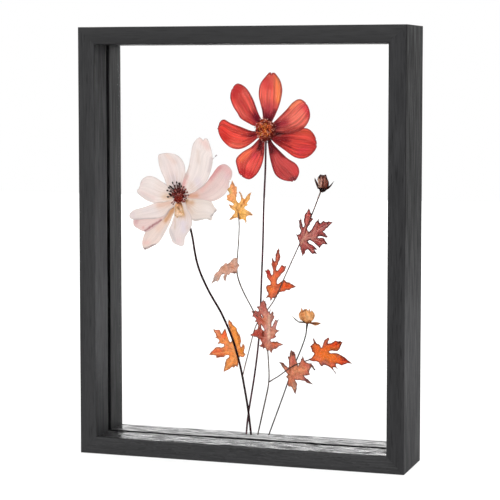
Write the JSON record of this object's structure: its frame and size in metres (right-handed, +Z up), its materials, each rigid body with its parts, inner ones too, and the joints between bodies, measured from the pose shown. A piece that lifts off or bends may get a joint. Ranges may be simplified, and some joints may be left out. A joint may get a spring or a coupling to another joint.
{
  "type": "pressed flower frame",
  "caption": "Rectangular wood shadow frame, standing upright, that holds pressed flowers, leaves and buds between two clear glass panes.",
  "frame": {"origin": "under the middle of the bottom rail, on the surface that the frame stands on", "axes": "+Z up the frame's height, +X to the right seen from the front, +Y through the frame's depth, away from the viewer"},
  "size_m": [0.231, 0.05, 0.296],
  "materials": {
    "charcoal_wood": "satin stained, embossed straight grain",
    "clear_glass": "clear polished",
    "red_petal": "dry matte petal, dark at the base",
    "red_disc": "dry stippled florets",
    "pale_petal": "dry matte petal, off-white",
    "stamens": "dry, dark maroon",
    "sepal": "dry ochre",
    "gold_leaf": "dry leaf, yellow orange",
    "burgundy_leaf": "dry leaf, dusty burgundy",
    "dusty_leaf": "dry leaf, dusty pink brown",
    "orange_leaf": "dry leaf, orange red",
    "rose_leaf": "dry leaf, dusty rose",
    "amber_leaf": "dry leaf, amber",
    "brown_leaf": "dry leaf, brown rose",
    "scarlet_leaf": "dry leaf, orange scarlet",
    "stem": "dry stem",
    "dark_bud": "dry brown bud",
    "tan_bud": "dry tan bud"
  },
  "bodies": {
    "root": {"rail_top": "charcoal_wood", "rail_bottom": "charcoal_wood", "rail_left": "charcoal_wood", "rail_right": "charcoal_wood", "glass_front": "clear_glass", "glass_back": "clear_glass", "red_petal_1": "red_petal", "red_petal_2": "red_petal", "red_petal_3": "red_petal", "red_petal_4": "red_petal", "red_petal_5": "red_petal", "red_petal_6": "red_petal", "red_petal_7": "red_petal", "red_disc": "red_disc", "red_stem": "stem", "pale_petal_1": "pale_petal", "pale_petal_2": "pale_petal", "pale_petal_3": "pale_petal", "pale_petal_4": "pale_petal", "pale_petal_5": "pale_petal", "pale_petal_6": "pale_petal", "pale_petal_7": "pale_petal", "pale_petal_8": "pale_petal", "pale_petal_9": "pale_petal", "pale_stamens": "stamens", "pale_sepal": "sepal", "pale_stem": "stem", "leaf_gold": "gold_leaf", "leaf_burgundy": "burgundy_leaf", "leaf_dusty": "dusty_leaf", "leaf_orange": "orange_leaf", "leaf_rose": "rose_leaf", "leaf_amber": "amber_leaf", "leaf_brown": "brown_leaf", "leaf_scarlet": "scarlet_leaf", "leaf_twig": "stem", "forked_stem": "stem", "forked_stem_branch": "stem", "bud_dark": "dark_bud", "bud_dark_twig": "stem", "bud_tan": "tan_bud", "bud_tan_stem": "stem"}
  },
  "joints": []
}
